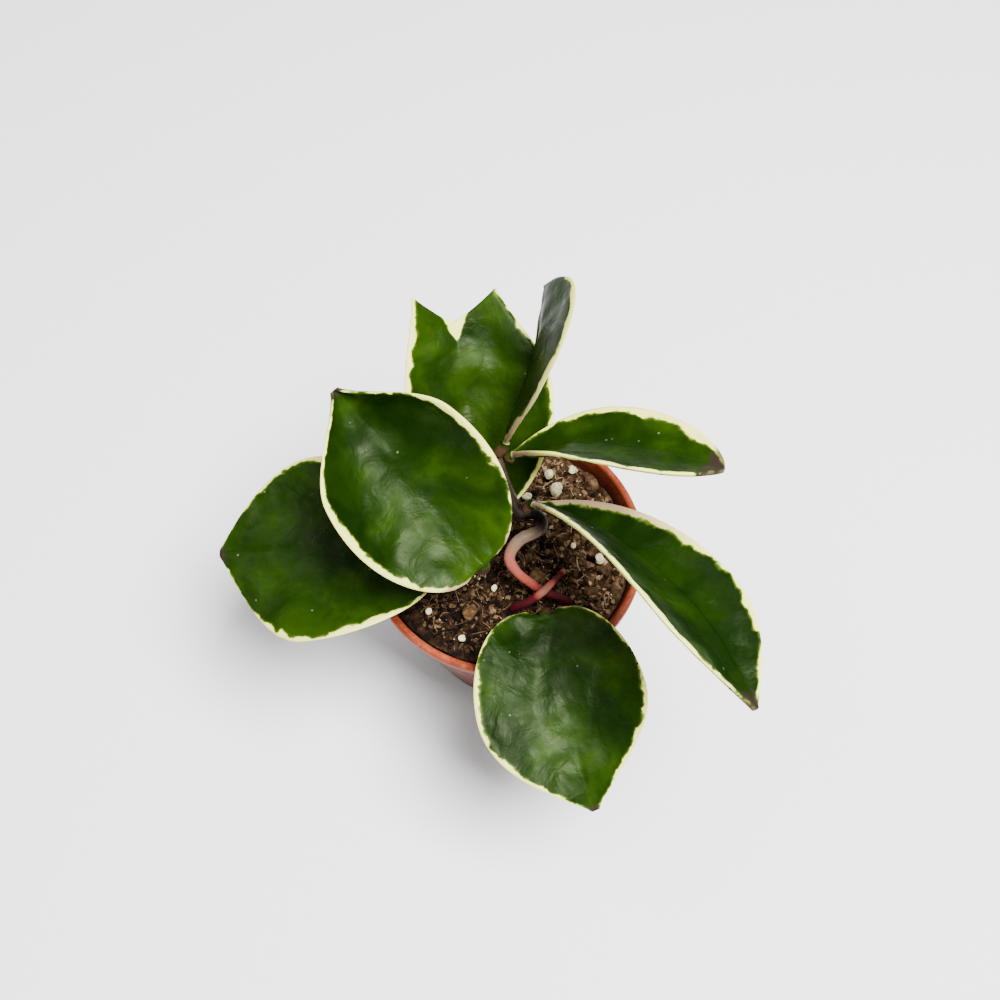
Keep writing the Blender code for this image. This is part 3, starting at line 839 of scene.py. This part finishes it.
def blade_frame(leaf, s):
    """Forward, left and face directions of the blade at s."""
    heading = math.radians(mix(leaf["heading"], s))
    rise = math.radians(mix(leaf["rise"], s))
    roll = math.radians(mix(leaf["roll"], s))
    forward = Vector((math.cos(rise) * math.cos(heading), math.cos(rise) * math.sin(heading),
                      math.sin(rise)))
    level = Vector((-math.sin(heading), math.cos(heading), 0))
    upright = forward.cross(level)
    left = level * math.cos(roll) + upright * math.sin(roll)
    return forward, left, forward.cross(left)


def midrib(leaf):
    points = [Vector(leaf["base"])]
    step = leaf["length"] / LEAF_ROWS
    for row in range(LEAF_ROWS):
        points.append(points[-1] + blade_frame(leaf, (row + 0.5) / LEAF_ROWS)[0] * step)
    return points


def along_list(stops, s):
    """The value at s on a line through (place, value) stops."""
    for (start, first), (end, second) in zip(stops, stops[1:]):
        if s <= end:
            return mix((first, second), (s - start) / (end - start))
    return stops[-1][1]


def relief(point, v):
    """Height of the blade's puckered face: broad swells, small bumps, a shallow midrib groove."""
    x, y, z = point
    swell = 0.52 * wobble(x, y, z, 9.0) + 0.32 * wobble(x, y, z, 4.2) + 0.07 * wobble(x, y, z, 2.0)
    groove = 0.12 * math.exp(-(v / 0.035) ** 2)
    return swell * (1 - v ** 6) - groove


def trough(leaf, side, s, v):
    """How far the folded blade's crease is filled to a round trough."""
    reach = leaf.get("soft", 0.45)
    if v >= reach:
        return 0.0
    slope = math.sin(math.radians(mix(leaf["fold"], s)))
    return slope * half_width(leaf, side, s) * (reach - v) ** 2 / (2 * reach)


def blade_ring(leaf, middle, s):
    """Face points from left edge to right edge, then underside points back again.

    Each is (point, v, under), v being how far out it lies: 0 midrib, 1 edge.
    """
    forward, left, face = blade_frame(leaf, s)
    fold = math.radians(mix(leaf["fold"], s))
    cup = math.radians(mix(leaf["cup"], s))
    halves = []
    for side, sign in ((0, 1), (1, -1)):
        strip = half_width(leaf, side, s) / LEAF_STRIPS
        across = height = 0.0
        points = []
        for number in range(1, LEAF_STRIPS + 1):
            v = number / LEAF_STRIPS
            lean = fold * min(1, v / 0.08) + cup * (v - 0.5 / LEAF_STRIPS)
            across += strip * math.cos(lean)
            height += strip * math.sin(lean)
            slide = leaf.get("tip_lobe", (0, 0))[side] * v ** 1.3 * s ** 6
            slide -= leaf.get("lobe", (0, 0))[side] * v ** 1.5 * (1 - s) ** 4
            point = middle + left * across * sign + face * (height + trough(leaf, side, s, v))
            point += forward * slide
            normal = face * math.cos(lean) - left * sign * math.sin(lean)
            round_off = math.sqrt(max(0.05, 1 - max(0, (v - 0.93) / 0.07) ** 2))
            thick = mix((BLADE_THICKNESS, EDGE_THICKNESS), v * v) / 2 * round_off
            points.append((point, normal, thick, v))
        halves.append(points)
    fill = (trough(leaf, 0, s, 0) + trough(leaf, 1, s, 0)) / 2
    spine = [(middle + face * fill, face, BLADE_THICKNESS / 2, 0.0)]
    section = halves[0][::-1] + spine + halves[1]
    upper = [(point + normal * (thick + relief(point, v)), v, 0.0) for point, normal, thick, v in section]
    under = [(point - normal * (thick - relief(point, v) * 0.8), v, 1.0)
             for point, normal, thick, v in reversed(section)]
    return upper + under


def petiole_rings(leaf):
    """Round rings along the stalk, turned to run smoothly into the blade."""
    forward, left, face = blade_frame(leaf, 0)
    start, lead = (Vector(point) for point in leaf["petiole"])
    base = Vector(leaf["base"])
    arrive = base - forward * 1.6
    count = 2 * LEAF_STRIPS + 1
    rings = []
    for row in range(PETIOLE_ROWS):
        t = row / PETIOLE_ROWS
        u = 1 - t
        middle = start * u ** 3 + lead * 3 * u * u * t + arrive * 3 * u * t * t + base * t ** 3
        along = ((lead - start) * u * u + (arrive - lead) * 2 * u * t + (base - arrive) * t * t)
        along = along.normalized()
        side = (left - along * left.dot(along)).normalized()
        top = along.cross(side)
        ring = []
        for number in range(2 * count):
            angle = math.pi * (number + 0.5) / count
            ring.append((middle + (side * math.cos(angle) + top * math.sin(angle)) * PETIOLE_RADIUS, 0, 0))
        rings.append(ring)
    return rings


def make_leaf(name, material):
    """One leaf, stalk and blade, with the measures that its material reads."""
    leaf = LEAVES[name]
    points, faces = [], []
    measures = {key: [] for key in ("edge_mm", "cream_mm", "along", "under", "tone", "warm", "dry")}
    stalk = petiole_rings(leaf)
    for row, ring in enumerate(stalk):
        for point, v, under in ring:
            points.append(point[:])
            values = (3.0, 0.0, (row / PETIOLE_ROWS - 1) * 0.3, 0.0, 0.0, 0.0, -1.0)
            for key, value in zip(measures, values):
                measures[key].append(value)
    notch_depth, notch_reach = leaf.get("notch", (0, 1))
    for row, middle in enumerate(midrib(leaf)):
        s = row / LEAF_ROWS
        ring = blade_ring(leaf, middle, s)
        count = len(ring) // 2
        for number, (point, v, under) in enumerate(ring):
            spot = number if number < count else 2 * count - 1 - number
            side = 0 if spot < LEAF_STRIPS else 1
            to_edge = (1 - v) * half_width(leaf, side, s)
            to_tip = (1 - s) * leaf["length"]
            if notch_depth:
                to_edge = min(to_edge, to_tip + 3 * v)
            cream = along_list(leaf["cream"][side], s)
            if notch_depth and to_tip < 5 and v < notch_reach:
                cream = notch_depth * (1 - v / notch_reach)
            glow = leaf.get("glow", 0) * math.exp(-s / 0.16)
            warm = max(0.0, min(1.0, 2.0 * (1 - s / leaf.get("warm", (0.05, 0.05))[side])))
            points.append(point[:])
            dry = s - leaf.get("dry", DRY_TIP)
            values = (to_edge, cream, s, under, leaf["tone"] + glow, warm, dry)
            for key, value in zip(measures, values):
                measures[key].append(value)
    size = len(stalk[0])
    for ring in range(len(points) // size - 1):
        for number in range(size):
            here = ring * size + number
            after = ring * size + (number + 1) % size
            faces.append((here, after, after + size, here + size))
    for start in (0, len(points) - size):
        for number in range(size // 2 - 1):
            across = start + size - 1 - number
            faces.append((start + number, start + number + 1, across - 1, across))
    piece = mesh_piece(name + "_blade", points, faces, material)
    for key, values in measures.items():
        write_attribute(piece, key, values)
    return finish_piece(piece, "leaf_skin", name)


# ---------------------------------------------------------------- studio

def make_studio():
    """A pale floor, soft lights and the camera."""
    deselect()
    bpy.ops.mesh.primitive_plane_add(size=4)
    floor = bpy.context.object
    floor.name = "floor"
    paint = bpy.data.materials.new("floor_paint")
    paint.use_nodes = True
    paint.node_tree.nodes["Principled BSDF"].inputs["Base Color"].default_value = (0.93, 0.93, 0.93, 1)
    paint.node_tree.nodes["Principled BSDF"].inputs["Roughness"].default_value = 0.9
    floor.data.materials.append(paint)

    world = bpy.data.worlds.new("soft_room")
    bpy.context.scene.world = world
    world.use_nodes = True
    world.node_tree.nodes["Background"].inputs["Color"].default_value = (0.98, 0.98, 1.0, 1)
    world.node_tree.nodes["Background"].inputs["Strength"].default_value = 0.55

    for name, spot, size, power in (("key", (0.23, -0.13, 0.78), 0.36, 24.0),
                                    ("left", (-0.34, 0.08, 0.62), 0.24, 1.1)):
        lamp_data = bpy.data.lights.new(name, "AREA")
        lamp_data.size = size
        lamp_data.energy = power
        lamp = bpy.data.objects.new(name, lamp_data)
        lamp.location = spot
        lamp.rotation_euler = (Vector((0, 0, 0.06)) - Vector(spot)).to_track_quat("-Z", "Y").to_euler()
        bpy.context.scene.collection.objects.link(lamp)

    view_rise = math.radians(64.17)
    distance = 0.250
    rim = Vector((0, 0, RIM_Z * MM))
    camera_data = bpy.data.cameras.new("camera")
    camera_data.lens = 41.53
    camera_data.sensor_width = 36
    camera_data.clip_start = 0.01
    camera = bpy.data.objects.new("camera", camera_data)
    camera.location = rim + Vector((0, -math.cos(view_rise), math.sin(view_rise))) * distance
    target = rim + Vector((-1.25, 0, 19.4)) * MM
    camera.rotation_euler = (target - camera.location).to_track_quat("-Z", "Y").to_euler()
    bpy.context.scene.collection.objects.link(camera)
    bpy.context.scene.camera = camera


def main():
    make_pot(pot_plastic())
    soil_material = peat()
    make_soil(soil_material)
    make_crumbs("peat_crumbs", soil_material, "peat", 1500, (0.2, 0.9), (-0.2, 0.85))
    make_flakes(soil_material)
    make_fibres(soil_material)
    perlite_material = perlite()
    make_crumbs("perlite_crumbs", perlite_material, "perlite", 70, (0.12, 0.35), (0, 1))
    bark_material = bark()
    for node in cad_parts:
        if node.startswith("perlite"):
            make_lump(node, perlite_material, 13, "perlite")
        if node.startswith("bark"):
            make_lump(node, bark_material, 9, "bark")
    stem_material = stem_skin()
    for name in STEMS:
        make_stem(name, stem_material)
    leaf_material = leaf_skin()
    for name in LEAVES:
        make_leaf(name, leaf_material)
    make_studio()


main()
